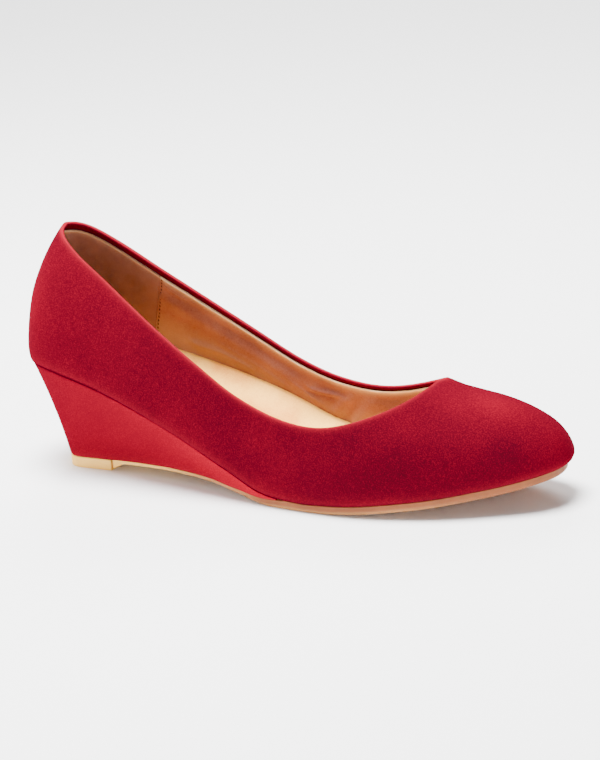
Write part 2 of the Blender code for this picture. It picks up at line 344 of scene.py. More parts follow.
def suede_profile(around):
    """The section of the suede at each rib, as rows of ways down, depths, and wear with painted sheen and
    shade, once round its wall.
    """
    full = full_way(around)[:, None]
    fold = fold_depth(around)[:, None]
    down, depth = [], []
    for share in np.linspace(1, 0, SUEDE_ROWS):
        way = RIM_ROUND + share * (full - RIM_ROUND - FEATHER_ROUND)
        down.append(way)
        depth.append(-swell_height(SUEDE_SWELLS, around[:, None], way))
    swollen = depth[-1]
    for angle in np.linspace(0, math.pi, RIM_ROWS)[1:]:
        down.append(RIM_ROUND * (1 - math.sin(angle)) + 0 * full)
        depth.append(RIM_HALF * (1 - math.cos(angle)) + swollen)
    for share, deep in FOLD_ROWS:
        down.append(RIM_ROUND + share * (fold - RIM_ROUND))
        depth.append(deep + swollen)
    for share in np.linspace(0, 1, INSIDE_ROWS):
        down.append(fold + FOLD_EASE + share * (full - FEATHER_ROUND - fold - FOLD_EASE))
        depth.append(SUEDE_WALL + 0 * full)
    for angle in np.linspace(0, math.pi, FEATHER_ROWS)[1:]:
        down.append(full - FEATHER_ROUND * (1 - math.sin(angle)))
        depth.append(FEATHER_HALF * (1 + math.cos(angle)) + 0 * full)
    down, depth = np.concatenate(down, axis=1), np.concatenate(depth, axis=1)
    up = full - down
    # Lighter along the feather edge and round the rim's roll, partly wear and partly painted sheen, and
    # darker in a thin line of painted shade where the feather edge turns under.
    worn = np.exp(-up / FEATHER_WEAR_AND_PAINTED_SHEEN) - 2.6 * np.exp(-up / FEATHER_SHADE) + 1.6 * np.exp(-down / RIM_WEAR_AND_PAINTED_SHEEN)
    return down, depth, np.where(depth < SKIN_DEPTH, worn, 0)


class Finish:
    """A socket among a material's nodes. Sums on finishes add Math nodes."""

    def __init__(self, tree, socket=None):
        self.tree = tree
        self.socket = socket

    def node(self, kind, settings=None, sockets=None, out=0):
        """Any other node, from its type, its settings, and the values or links of its sockets."""
        made = self.tree.nodes.new(kind)
        for name, value in (settings or {}).items():
            setattr(made, name, value)
        for name, value in (sockets or {}).items():
            if isinstance(value, Finish):
                self.tree.links.new(value.socket, made.inputs[name])
            else:
                made.inputs[name].default_value = value
        return Finish(self.tree, made.outputs[out])

    def maths(self, operation, *values):
        """One Math node on these values."""
        return self.node("ShaderNodeMath", {"operation": operation}, dict(enumerate(values)))

    def __add__(self, other):
        return self.maths("ADD", self, other)

    __radd__ = __add__

    def __sub__(self, other):
        return self.maths("SUBTRACT", self, other)

    def __rsub__(self, other):
        return self.maths("SUBTRACT", other, self)

    def __mul__(self, other):
        return self.maths("MULTIPLY", self, other)

    __rmul__ = __mul__

    def noise(self, scale, detail=2.0, roughness=0.5):
        """Noise over the piece, with this many spots to the metre."""
        sockets = {"Vector": self, "Scale": scale, "Detail": detail, "Roughness": roughness}
        return self.node("ShaderNodeTexNoise", None, sockets)

    def band(self, low, high):
        """This value spread out, from 0 at low to 1 at high."""
        sockets = {"Value": self, "From Min": low, "From Max": high}
        return self.node("ShaderNodeMapRange", {"interpolation_type": "SMOOTHSTEP"}, sockets)

    def dyed(self, low, high):
        """A colour between two, by this value."""
        return self.node("ShaderNodeMix", {"data_type": "RGBA"}, {0: self, 6: low, 7: high}, out=2)


def new_finish(name):
    """A new material, its place on the piece, and its shader."""
    made = bpy.data.materials.new(name)
    made.use_nodes = True
    place = Finish(made.node_tree).node("ShaderNodeTexCoord", out="Object")
    return made, place, made.node_tree.nodes["Principled BSDF"]


def dress(shader, sockets):
    """Set or link the shader's own sockets."""
    for name, value in sockets.items():
        if isinstance(value, Finish):
            value.tree.links.new(value.socket, shader.inputs[name])
        else:
            shader.inputs[name].default_value = value


def shade(red, green, blue):
    """A colour as it is seen, from 0 to 255, as the shader's own."""
    seen = [tone / 255 for tone in (red, green, blue)]
    return (*[(tone / 12.92) if tone < 0.04 else ((tone + 0.055) / 1.055) ** 2.4 for tone in seen], 1)


def mark_on(place, name):
    """A mark that each point of the piece carries."""
    return place.node("ShaderNodeAttribute", {"attribute_name": name}, out=2)


def tinted(share, low, high):
    """A colour between two, by a share that is a number or a finish."""
    return low.node("ShaderNodeMix", {"data_type": "RGBA"}, {0: share, 6: low, 7: high}, out=2)


def suede_finish(name):
    """Red imitation suede: mottled by the lie of its nap, with short fibres that catch the light, and with
    painted light and shade from its nap and edge marks.
    """
    made, place, shader = new_finish(name)
    lie = place.noise(26, 2.0, 0.5).band(0.34, 0.68)
    fibre = place.noise(1900, 3.0, 0.7)
    speck = fibre.band(0.40, 0.68)
    clump = place.noise(600, 3.0, 0.6)
    # The edge mark: partly wear and partly painted sheen where it is above nothing, painted shade where it is
    # below nothing.
    worn = mark_on(place, "worn")
    # The nap mark holds the lie of the nap together with painted shade and painted light.
    lay_and_painted_light = mark_on(place, "nap") * 0.70 + lie * 0.08 + clump * 0.05 + speck * 0.17
    red = lay_and_painted_light.dyed(shade(62, 6, 19), shade(172, 8, 38))
    red = tinted((1 - speck) * 0.30, red, shade(58, 2, 14))
    # Painted sheen and wear along the feather edge and the rim.
    red = tinted(worn * 0.40, red, shade(158, 26, 42))
    # Painted shade at the turned-under feather edge, and on the wedge just under the upper.
    red = tinted(worn * -0.7, red, shade(26, 0, 6))
    bump = {"Strength": 0.7, "Distance": 0.0002, "Height": fibre * 0.8 + clump * 0.25}
    dress(shader, {
        "Base Color": red,
        "Roughness": 0.93 - speck * 0.08,
        "Normal": place.node("ShaderNodeBump", None, bump),
        "Specular IOR Level": 0.0,
        "Sheen Weight": 0.04,
        "Sheen Roughness": 0.3,
        "Sheen Tint": (1.0, 0.10, 0.2, 1),
    })
    return made


suede = suede_finish("red_suede")
suede_around = np.linspace(0, 2 * math.pi, SUEDE_RIBS + 1)
suede_rows = suede_profile(suede_around)
suede_down, suede_depth, suede_worn = (np.concatenate([rows, rows[:, :1]], axis=1) for rows in suede_rows)
suede_points = upper_points(suede_around[:, None], suede_down, suede_depth)
# The nap mark holds nap patches together with painted shade and painted light.
suede_nap_and_painted_light = swell_height(NAP_AND_PAINTED_LIGHT_PATCHES, suede_around[:, None], suede_down)
suede_upper = laid_mesh("suede_upper", suede_points, worn=suede_worn, nap=suede_nap_and_painted_light)
suede_upper.data.materials.append(suede)
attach(suede_upper, "root")
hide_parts("upper")


# The lining is soft gold-tan leather cloth from the seams by the heel to the toe. Its pale cut edge
# shows below the folded topline, and it lies in soft creases along the inner side. Their troughs are
# darkened with painted shade, and the wall is painted lighter low down, as painted light.
LINING_DEPTH = 0.00125
LINING_WALL = 0.00075
LINING_SEAM = math.radians(53.7)
SEAM_LEAN = 2.0  # how fast the seam leans back on its way down, in radians a metre
LINING_RIBS = 320
LINING_ROWS = 72
LINING_BELOW = 0.0001  # between the fold's end and the cut edge of the lining
LINING_STOP = 0.0004
EDGE_LIFT = 0.0004
EDGE_LIFT_WAY = 0.0012
EDGE_PALE_WAY = 0.0009
# Over this way above its foot, the lining's wall is painted lighter towards the insole, as painted light.
LOW_PAINTED_LIGHT = 0.020
SEAM_CLOSE = 0.0060  # radians over which the wall of a lining closes at its seams
SEAM_LEAN_REACH = 0.5
# Creases lie along paths of places round the foot, in degrees, and ways below the topline, and are
# ridges, or troughs below nothing.
Crease = namedtuple("Crease", "path wide height")
LINING_CREASES = (
    Crease(((303, 0.0112), (296, 0.0098), (290, 0.0092), (284, 0.0080)), 0.0026, -0.0006),
    Crease(((282, 0.0090), (274, 0.0076), (268, 0.0074), (262, 0.0080)), 0.0022, -0.0006),
    Crease(((304, 0.0160), (294, 0.0150), (284, 0.0138), (276, 0.0132)), 0.0034, 0.0008),
    Crease(((256, 0.0066), (246, 0.0066), (234, 0.0068)), 0.0016, -0.0005),
    Crease(((298, 0.0290), (292, 0.0240), (286, 0.0220)), 0.0016, 0.0009),
    Crease(((292, 0.0200), (284, 0.0185), (278, 0.0188)), 0.0016, 0.0006),
    Crease(((260.6, 0.0078), (263.0, 0.0142), (265.0, 0.0200)), 0.0010, -0.0006),
    Crease(((262.8, 0.0080), (265.0, 0.0120), (267.4, 0.0187)), 0.0015, 0.0010),
    Crease(((258.4, 0.0090), (260.6, 0.0150), (262.6, 0.0200)), 0.0018, 0.0006),
    Crease(((272.0, 0.0128), (265.8, 0.0094)), 0.0010, 0.0009),
    Crease(((273.0, 0.0156), (267.4, 0.0124)), 0.0009, -0.0006),
    Crease(((276.0, 0.0150), (270.0, 0.0175)), 0.0012, 0.0006),
    Crease(((254.0, 0.0110), (247.0, 0.0150)), 0.0014, 0.0006),
    Crease(((304.5, 0.0074), (300.0, 0.0080)), 0.0010, 0.0007),
    Crease(((66, 0.0120), (82, 0.0140), (92, 0.0120)), 0.0024, -0.0005),
    Crease(((70, 0.0170), (84, 0.0190), (94, 0.0170)), 0.0026, 0.0008),
    Crease(((96, 0.0100), (101, 0.0130), (104, 0.0180)), 0.0014, 0.0008),
    Crease(((110, 0.0080), (124, 0.0080)), 0.0018, -0.0005),
)
CREASE_SPAN = 0.11  # metres along the topline for one radian round the foot
DEEPEST = -0.0006  # where troughs cross, so that the lining stays inside the suede


def crease_height(around, down):
    """Height of the creases, soft on both sides of their paths."""
    height = 0 * (around + down)
    for crease in LINING_CREASES:
        nearest = 1 + height
        for (start, above), (end, below) in zip(crease.path, crease.path[1:]):
            ahead = math.radians(end - start) * CREASE_SPAN
            drop = below - above
            away = (around - math.radians(start)) * CREASE_SPAN
            share = np.clip((away * ahead + (down - above) * drop) / (ahead**2 + drop**2), 0, 1)
            nearest = np.minimum(nearest, np.hypot(away - share * ahead, down - above - share * drop))
        height = height + crease.height * np.exp(-((nearest / crease.wide) ** 2))
    return np.clip(height, DEEPEST, None)


def lining_profile(around, creased, proud):
    """The section of a lining at each rib: up its face towards the foot, over its edge, down behind."""
    full = full_way(around)
    edge = fold_depth(around) + LINING_BELOW
    half = (LINING_WALL + proud) / 2
    run = full - edge - half - LINING_STOP
    loose = EDGE_LIFT + 0.00010 * np.sin(around * 37) + 0.00007 * np.sin(around * 83 + 1)
    down, depth, pale = [], [], []
    for share in np.linspace(1, 0, LINING_ROWS):
        way = edge + half + share**1.2 * run
        lift = loose * np.exp(-((way - edge) / EDGE_LIFT_WAY))
        down.append(way)
        soft = crease_height(around, way) if creased else 0 * full
        depth.append(LINING_DEPTH + 2 * half + soft + lift)
        # Painted light: the wall grows paler low down, towards the insole.
        low = np.clip((way - full + LOW_PAINTED_LIGHT) * 2 / LOW_PAINTED_LIGHT, 0, 1)
        # The pale mark: paler at the cut edge, painted light low on the wall, and below nothing in the crease
        # troughs as painted shade.
        pale.append(1.2 * np.exp(-((way - edge) / EDGE_PALE_WAY)) + 0.16 * low + 90 * np.minimum(soft, 0))
    for angle in np.linspace(0, math.pi, FEATHER_ROWS)[1:]:
        down.append(edge + half * (1 - math.sin(angle)))
        depth.append(LINING_DEPTH + half * (1 + math.cos(angle)) + loose * math.cos(angle / 2))
        pale.append(1 + 0 * full)
    for share in np.linspace(0, 1, INSIDE_ROWS)[1:]:
        down.append(edge + half + share * run)
        depth.append(LINING_DEPTH + 0 * full)
        pale.append(0 * full)
    return [np.concatenate([*rows, rows[0]], axis=1) for rows in (down, depth, pale)]


def lining_piece(name, start, end, ribs, creased, proud=0.0):
    """A lining between two seams that lean, its wall closed down to nothing at each of them."""
    ends = SEAM_CLOSE * np.array((1 / 15, 0.2, 0.5, 1))
    around = np.concatenate([start + ends, np.linspace(start, end, ribs + 1), end - ends])
    around = np.sort(around)[:, None]
    from_seam = np.minimum(around - start, end - around)
    closing = np.sqrt(1 - (1 - np.clip(from_seam / SEAM_CLOSE, 0, 1)) ** 2)
    down, depth, pale = lining_profile(around, creased, proud)
    middle = LINING_DEPTH + (LINING_WALL + proud) / 2
    near = np.clip(1 - from_seam / SEAM_LEAN_REACH, 0, 1) ** 2
    lean = SEAM_LEAN * down * near * np.where(around * 2 < start + end, -1, 1)
    lean = lean * (1 if end > math.pi else -1)
    return laid_mesh(name, upper_points(around + lean, down, middle + (depth - middle) * closing), pale=pale)


def gold_leather(name, dark, light, edge, metal, cloudy):
    """Soft gold-tan leather cloth with a fine grain and a low metal gloss, paler at its cut edge, with
    painted light and shade from its pale mark.
    """
    made, place, shader = new_finish(name)
    cloud = place.noise(45, 3.0, 0.5).band(0.35, 0.68)
    cells = {"Vector": place, "Scale": 1300.0}
    pore = place.node("ShaderNodeTexVoronoi", {"feature": "DISTANCE_TO_EDGE"}, cells).band(0.0, 0.12)
    fine = place.noise(1000, 3.0, 0.6)
    pull = place.noise(240, 3.0, 0.6)
    tone = (cloud * cloudy + pore * 0.2 + fine * (0.8 - cloudy)).dyed(dark, light)
    height = pore * 0.35 + fine * 0.7 + pull * 0.9
    # The pale mark lightens the cut edge and, as painted light, the lower wall; below nothing it darkens
    # crease troughs with painted shade.
    pale = mark_on(place, "pale")
    tone = tinted(pale * -2.5, tone, shade(104, 40, 28))
    dress(shader, {
        "Base Color": tinted(pale, tone, edge),
        "Metallic": metal,
        "Roughness": 0.52 - cloud * 0.06 + fine * 0.12,
        "Normal": place.node("ShaderNodeBump", None, {"Strength": 0.3, "Distance": 0.0002, "Height": height}),
        "Specular IOR Level": 0.2,
    })
    return made


gold = gold_leather(
    "gold_lining", shade(104, 58, 54), shade(164, 110, 94), shade(255, 226, 178), metal=0.1, cloudy=0.3
)
lining = lining_piece("lining", LINING_SEAM, 2 * math.pi - LINING_SEAM, LINING_RIBS, True)
lining.data.materials.append(gold)
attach(lining, "root")


# The heel grip is a softer, duller brown lining with a nap, which runs round the back of the heel from
# seam to seam and is stitched under the edge of the lining on both sides.
GRIP_RIBS = 110
GRIP_UNDER = 0.0008
STITCH_PITCH = 0.0020
STITCH_LENGTH = 0.0013
STITCH_THICK = 0.0007
STITCH_IN = 0.011
STITCH_START = 0.0055
STITCH_STOP = 0.004


def grip_finish(name):
    """Dull olive-brown nap for the heel grip."""
    made, place, shader = new_finish(name)
    cloud = place.noise(60, 3.0, 0.6).band(0.35, 0.68)
    nap = place.noise(1300, 4.0, 0.65)
    tone = (cloud * 0.4 + nap * 0.6).dyed(shade(104, 64, 58), shade(142, 98, 88))
    # The pale mark lightens the cut edge and, as painted light, the grip's lower wall.
    dress(shader, {
        "Base Color": tinted(mark_on(place, "pale") * 0.8, tone, shade(206, 160, 118)),
        "Roughness": 0.86 + nap * 0.1,
        "Normal": place.node("ShaderNodeBump", None, {"Strength": 0.4, "Distance": 0.0002, "Height": nap}),
        "Specular IOR Level": 0.25,
        "Sheen Weight": 0.15,
    })
    return made


GRIP_SEAM = LINING_SEAM - GRIP_UNDER
heel_grip = lining_piece("heel_grip", -GRIP_SEAM, GRIP_SEAM, GRIP_RIBS, False, -0.0001)
heel_grip.data.materials.append(grip_finish("grip_nap"))
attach(heel_grip, "root")


def stitch_row(bm, around, way):
    """Stitches down a seam of the lining, each lying along the rib and sunk half into the surface."""
    ways = np.arange(STITCH_START, full_way(np.array([around]))[0] - STITCH_STOP, STITCH_PITCH)
    rib = around + SEAM_LEAN * ways * way
    face = LINING_DEPTH + LINING_WALL
    sized = Matrix.Diagonal((STITCH_LENGTH, STITCH_THICK, STITCH_THICK, 1))
    for spot, ahead in zip(upper_points(rib, ways, face), upper_points(rib, ways + STITCH_LENGTH / 2, face)):
        turned = Vector(ahead - spot).to_track_quat("X", "Z").to_matrix().to_4x4()
        laid = Matrix.Translation(spot) @ turned @ sized
        bmesh.ops.create_icosphere(bm, subdivisions=1, radius=0.5, matrix=laid)


def thread_finish(name, dark, light):
    """Twisted sewing thread."""
    made, place, shader = new_finish(name)
    twist = place.noise(2500, 2.0, 0.5)
    dress(shader, {"Base Color": twist.dyed(dark, light), "Roughness": 0.75 + twist * 0.1})
    return made


stitches = bmesh.new()
stitch_row(stitches, LINING_SEAM + STITCH_IN, -1)
stitch_row(stitches, 2 * math.pi - LINING_SEAM - STITCH_IN, 1)
grip_stitches = piece_of("grip_stitches", stitches)
grip_stitches.data.materials.append(thread_finish("brown_thread", shade(42, 12, 8), shade(66, 24, 16)))
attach(grip_stitches, "root")


# The insole is a board with a gold sock glued over it. It lies on the heel seat and the forefoot, meets
# the lining all round, and is turned up softly against the inner side under the foot's arch.
SOCK_GAP = 0.0001
SOCK_DISH = 0.0010
SOCK_EDGE = 0.0008
SOCK_COVE = 0.40
SOCK_COVE_POWER = 2.2
SOCK_LIFT = 0.0002
SOCK_ROLL = ((1, 0.0006), (0.7, 0.0001), (0.25, 0.0), (0, 0.0002))  # shares of the edge, and insets
SOCK_RIBS = 160
SOCK_ROWS = 44
Rise = namedtuple("Rise", "share outer inner")
SOCK_RISES = (
    Rise(0.00, 0.0030, 0.0030),
    Rise(0.16, 0.0030, 0.0036),
    Rise(0.28, 0.0032, 0.0068),
    Rise(0.36, 0.0034, 0.0095),
    Rise(0.44, 0.0034, 0.0122),
    Rise(0.52, 0.0034, 0.0124),
    Rise(0.62, 0.0032, 0.0080),
    Rise(0.74, 0.0030, 0.0038),
    Rise(1.00, 0.0030, 0.0030),
)


def sock_row(outer, inner, across, seat):
    """One row of the sock: on its seat in the middle, and turned up towards both edges."""
    row = outer + (inner - outer) * across
    near_outer = np.clip(1 - across / SOCK_COVE, 0, 1) ** SOCK_COVE_POWER
    near_inner = np.clip(1 - (1 - across) / SOCK_COVE, 0, 1) ** SOCK_COVE_POWER
    row[:, 2] = seat + (outer[:, 2] - seat) * near_outer + (inner[:, 2] - seat) * near_inner
    return row


def sock_points():
    """The sock's section at each rib: up its outer edge, across the top, and back underneath."""
    turn = np.linspace(0, math.pi, SOCK_RIBS + 1)
    share = (1 - np.cos(turn)) / 2
    edges = []
    for around, name in ((turn, "outer"), (2 * math.pi - turn, "inner")):
        rise = smooth(column(SOCK_RISES, "share"), column(SOCK_RISES, name), share)
        rows = []
        for share_down, inset in SOCK_ROLL:
            down = down_at_height(around, rise - SOCK_EDGE * share_down)
            rows.append(upper_points(around, down, LINING_DEPTH + LINING_WALL + SOCK_GAP + inset))
        edges.append(rows)
    outer, inner = edges[0], edges[1][::-1]
    foot = section(turn, "feather") * SEAT_HEIGHT
    wide = np.clip(np.linalg.norm(inner[0] - outer[-1], axis=1) / BALL_WIDTH * 1.6, 0, 1)
    over, under = [], []
    for across in np.linspace(0, 1, SOCK_ROWS)[1:-1]:
        dish = SOCK_DISH * wide * (1 - (2 * across - 1) ** 4)
        over.append(sock_row(outer[-1], inner[0], across, foot + SOCK_RISES[0].outer - dish))
        under.append(sock_row(outer[0], inner[-1], across, foot + SOCK_LIFT))
    return np.stack(outer + over + inner + under[::-1] + outer[:1], axis=1)


sock = laid_mesh("insole_sock", sock_points())
sock_gold = gold_leather(
    "gold_sock", shade(206, 112, 38), shade(255, 204, 100), shade(255, 204, 100), metal=0.3, cloudy=0.45
)
sock.data.materials.append(sock_gold)
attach(sock, "root")
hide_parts("insole")


# The wedge is a moulded block covered in the same suede, its cover turned over the top edge and drawn
# under the heel to the outsole. Its sides are slightly hollow.
SOLE_THICKNESS = 0.0033
SHANK_SOLE_THICKNESS = 0.0013
TOP_PIECE_THICKNESS = 0.0047
TOP_PIECE_LENGTH = 0.0246
TOP_PIECE_WIDTH = 0.035
TOP_PIECE_CORNER = 0.010
HEEL_UNDERCUT = 0.0165
WEDGE_REACH = 0.131
WEDGE_HOLLOW = 0.0008
ARCH_RISE = 0.0047
SOLE_INSET = 0.0004
CLEARANCE = 0.0003
CORNER_SQUARENESS = 2.6
RAMP_SLOPE = 0.5
RAMP_START = 0.0005
SOLE_SWELL = 0.026
TREAD_END = 0.150
WEDGE_RIBS = 160
WEDGE_ROWS = 24
WEDGE_ROUND = 0.0005
# Widths of the cover's edge marks: lighter along its lower and upper edges, partly wear and partly painted
# sheen, and darker with painted shade just under the upper's feather edge.
WEDGE_LOW_WEAR_AND_PAINTED_SHEEN = 0.0016
WEDGE_HIGH_WEAR_AND_PAINTED_SHEEN = 0.0012
WEDGE_SHADE = 0.0005
# The cover's nap mark: partly the lie of its nap, and painted light that grows towards the front.
WEDGE_NAP_AND_PAINTED_LIGHT = 0.24
WEDGE_PAINTED_LIGHT_RISE = 0.9
Shank = namedtuple("Shank", "share height spread")
SHANK = (
    Shank(0.17, 0.72, 0.00),
    Shank(0.24, 0.88, 0.15),
    Shank(0.32, 1.00, 0.38),
    Shank(0.40, 0.84, 0.60),
    Shank(0.46, 0.44, 0.80),
    Shank(0.51, 0.05, 0.95),
    Shank(0.55, 0.00, 1.00),
)


def turn_at(x):
    """The turn of the rib whose feather edge is at each place along the shoe."""
    ends = last_point(np.array([0, math.pi]), -TUCK, 1)[:, 0]
    along = np.clip((x - ends[0]) / (ends[1] - ends[0]), 0, 1)
    return np.arccos(1 - 2 * along)


def feather_height(x):
    """Height of the feather edge above the floor."""
    return section(turn_at(x), "feather") * SEAT_HEIGHT


def feather_side(turn, side, inset):
    """One side's feather edge, moved in by the inset at right angles to the edge."""
    step = math.pi / 720
    here = last_point(turn, -TUCK, side)
    behind, ahead = np.maximum(turn - step, 0), np.minimum(turn + step, math.pi)
    run = last_point(ahead, -TUCK, side) - last_point(behind, -TUCK, side)
    run[(turn <= 0) | (turn >= math.pi), 0] = 0
    span = np.hypot(run[:, 0], run[:, 1])
    here[:, 0] += side * inset * run[:, 1] / span
    here[:, 1] -= side * inset * run[:, 0] / span
    return here


def sole_half_width(x, side):
    """Half width of the underside, from the top piece out to the feather edge at the ball."""
    spread = smooth(column(SHANK, "share"), column(SHANK, "spread"), x / LENGTH)
    edge = feather_side(turn_at(x), side, SOLE_INSET)[:, 1]
    return (1 - spread) * side * TOP_PIECE_WIDTH / 2 + spread * edge


def rounded_half_width(x, side):
    """Half width of the underside with the rounded corners of the heel."""
    reach = np.clip((x - HEEL_UNDERCUT) / TOP_PIECE_CORNER, 0, 1)
    return (1 - (1 - reach) ** CORNER_SQUARENESS) ** (1 / CORNER_SQUARENESS) * sole_half_width(x, side)


def arch_height(x):
    """Height of the arch above the floor, down to nothing at the ball."""
    return np.maximum(smooth(column(SHANK, "share"), column(SHANK, "height"), x / LENGTH), 0) * ARCH_RISE


def sole_bottom(x):
    """Underside of the outsole: a ramp, the arch, the flat and the toe spring."""
    spring = np.maximum(feather_height(x) - CLEARANCE - SOLE_THICKNESS, 0)
    ramp = RAMP_START + RAMP_SLOPE * (x - HEEL_UNDERCUT - TOP_PIECE_LENGTH)
    return np.where(x > TREAD_END, spring, np.minimum(arch_height(x), ramp))


def sole_top(x):
    """Upper face of the outsole: thin under the wedge and full under the forefoot."""
    under_upper = feather_height(x) - CLEARANCE
    swell = np.clip(1 - (WEDGE_REACH - x) / SOLE_SWELL, 0, 1)
    thick = SHANK_SOLE_THICKNESS + (SOLE_THICKNESS - SHANK_SOLE_THICKNESS) * swell
    under_wedge = np.minimum(under_upper, arch_height(x) + thick)
    return np.where(x > WEDGE_REACH + SOLE_THICKNESS, under_upper, under_wedge)


def closed(grid, heel_axis, toe_axis):
    """The same sections with the first and the last closed flat, each along one axis."""
    heel, toe = grid[:1].copy(), grid[-1:].copy()
    for end, axis in ((heel, heel_axis), (toe, toe_axis)):
        end[..., axis] = end[..., axis].mean()
    return np.concatenate([heel, grid, toe])


def wedge_points():
    """The wedge's section at each rib: up its outer side, over the top, down and back underneath."""
    turn = np.linspace(0, turn_at(np.array(WEDGE_REACH)), WEDGE_RIBS + 1)
    sides = []
    for side in (-1, 1):
        high = feather_side(turn, side, SOLE_INSET)
        low = high.copy()
        low[:, 0] = HEEL_UNDERCUT + high[:, 0] * (WEDGE_REACH - HEEL_UNDERCUT) / WEDGE_REACH
        low[:, 1] = rounded_half_width(low[:, 0], side)
        low[:, 2] = sole_top(low[:, 0]) + CLEARANCE / 2
        low[low[:, 0] < HEEL_UNDERCUT + TOP_PIECE_LENGTH, 2] = TOP_PIECE_THICKNESS + CLEARANCE / 2
        high[:, 2] = feather_height(high[:, 0]) - CLEARANCE / 2
        inward = (np.array([WEDGE_REACH / 2, 0, 0]) - high) * (1, 1, 0)
        inward /= np.linalg.norm(inward, axis=1, keepdims=True)
        tall = (high - low)[:, 2:]
        rounding = np.minimum(WEDGE_ROUND, tall / 4)
        rows = []
        upward = (high - low) / tall
        for angle in np.linspace(0, math.pi / 2, 5):
            eased = inward * (1 - math.sin(angle)) + upward * (1 - math.cos(angle))
            rows.append(low + eased * rounding)
        for share in np.linspace(0, 1, WEDGE_ROWS)[1:-1]:
            spot = low + (high - low) * (rounding + share * (tall - 2 * rounding)) / tall
            rows.append(spot + inward * WEDGE_HOLLOW * tall / SEAT_HEIGHT * 4 * share * (1 - share))
        for angle in np.linspace(math.pi / 2, 0, 5):
            eased = inward * (1 - math.sin(angle)) - upward * (1 - math.cos(angle))
            rows.append(high + eased * rounding * 1.5)
        sides.append(rows)
    outer, inner = sides[0], sides[1][::-1]
    over = [outer[-1] + (inner[0] - outer[-1]) * share for share in np.linspace(0, 1, 10)[1:-1]]
    under = [inner[-1] + (outer[0] - inner[-1]) * share for share in np.linspace(0, 1, 10)[1:]]
    points = closed(np.stack(outer + over + inner + under, axis=1), 1, 2)
    bottom, top = points[..., 2].min(axis=1, keepdims=True), points[..., 2].max(axis=1, keepdims=True)
    above, below = points[..., 2] - bottom, top - points[..., 2]
    # Lighter at the lower and upper edges, partly wear and partly painted sheen, and darker with painted
    # shade right at the top, under the upper.
    worn = np.exp(-above / WEDGE_LOW_WEAR_AND_PAINTED_SHEEN) + 0.6 * np.exp(-below / WEDGE_HIGH_WEAR_AND_PAINTED_SHEEN)
    worn = worn - 3 * np.exp(-below / WEDGE_SHADE)
    # Partly the lie of the nap, and painted light that grows towards the wedge's front.
    nap = WEDGE_NAP_AND_PAINTED_LIGHT + WEDGE_PAINTED_LIGHT_RISE * (points[..., 0] / WEDGE_REACH) ** 2
    return points + np.array(SHOE_PLACE), worn, nap


wedge_spots, wedge_worn, wedge_nap_and_painted_light = wedge_points()
wedge_cover = laid_mesh("wedge_cover", wedge_spots, worn=wedge_worn, nap=wedge_nap_and_painted_light)
wedge_cover.data.materials.append(suede)
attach(wedge_cover, "root")
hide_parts("wedge")


# The outsole is moulded from tan rubber in one piece: a thin strip under the arch, and full under the
# forefoot. Its edge is trimmed, paler and rounded where it turns under, and the strip under the arch is
# painted lighter, as painted light.
SOLE_RIBS = 260
SOLE_ROUND = 0.0011
NOTCH = 0.0010  # the gap left between the strip and the top piece
SOLE_SIDE_ROWS = 8
PALE_EDGE_END = 0.222  # where along the shoe the pale lower edge has faded
PALE_EDGE_FADE = 0.040
PAINTED_LIGHT_STRIP_END = 0.125  # where along the shoe the painted light on the strip under the arch has faded
PAINTED_LIGHT_STRIP_FADE = 0.020
BEIGE_END = (-0.078, -0.020)  # where in the model's frame the beige by the heel passes into tan


def outsole_points():
    """The outsole's section at each rib: up its outer edge, over the top, down and back underneath."""
    start = turn_at(np.array(HEEL_UNDERCUT + TOP_PIECE_LENGTH + NOTCH))
    turn = np.linspace(start, math.pi, SOLE_RIBS + 1)
    sides = []
    for side in (-1, 1):
        edge = feather_side(turn, side, SOLE_INSET)
        x = edge[:, 0]
        edge[:, 1] = np.where(x < WEDGE_REACH, sole_half_width(x, side), edge[:, 1])
        ahead = np.gradient(edge[:, :2], axis=0)
        inward = np.stack([side * ahead[:, 1], -side * ahead[:, 0], 0 * x], axis=1)
        inward /= np.linalg.norm(inward, axis=1, keepdims=True)
        inward[-1] = (-1, 0, 0)
        low, high = sole_bottom(x)[:, None], sole_top(x)[:, None] + CLEARANCE / 2
        rounding = np.minimum(SOLE_ROUND, (high - low) * 0.42)
        flat = edge * (1, 1, 0)
        up = np.array([0, 0, 1])
        rows = []
        for angle in np.linspace(0, math.pi / 2, 7):
            eased = inward * (1 - math.sin(angle)) + up * (1 - math.cos(angle))
            rows.append(flat + up * low + eased * rounding)
        for share in np.linspace(0, 1, SOLE_SIDE_ROWS)[1:-1]:
            rows.append(flat + up * (low + rounding + share * (high - low - 1.25 * rounding)))
        for angle in np.linspace(math.pi / 2, 0, 4):
            eased = inward * (1 - math.sin(angle)) - up * (1 - math.cos(angle))
            rows.append(flat + up * high + eased * rounding / 4)
        sides.append(rows)
    outer, inner = sides[0], sides[1][::-1]
    over = [outer[-1] + (inner[0] - outer[-1]) * share for share in np.linspace(0, 1, 12)[1:-1]]
    under = [inner[-1] + (outer[0] - inner[-1]) * share for share in np.linspace(0, 1, 12)[1:]]
    points = closed(np.stack(outer + over + inner + under, axis=1), 2, 2)
    x = points[..., 0]
    share = (points[..., 2] - sole_bottom(x)) / (sole_top(x) - sole_bottom(x))
    edge = np.clip(1.25 - 2.2 * share, 0, 1) * np.clip((PALE_EDGE_END - x) / PALE_EDGE_FADE, 0.15, 1)
    # Painted light: the strip under the arch is made paler.
    painted_light_strip = np.clip((PAINTED_LIGHT_STRIP_END - x) / PAINTED_LIGHT_STRIP_FADE, 0, 0.8)
    return points + np.array(SHOE_PLACE), np.maximum(edge, painted_light_strip)


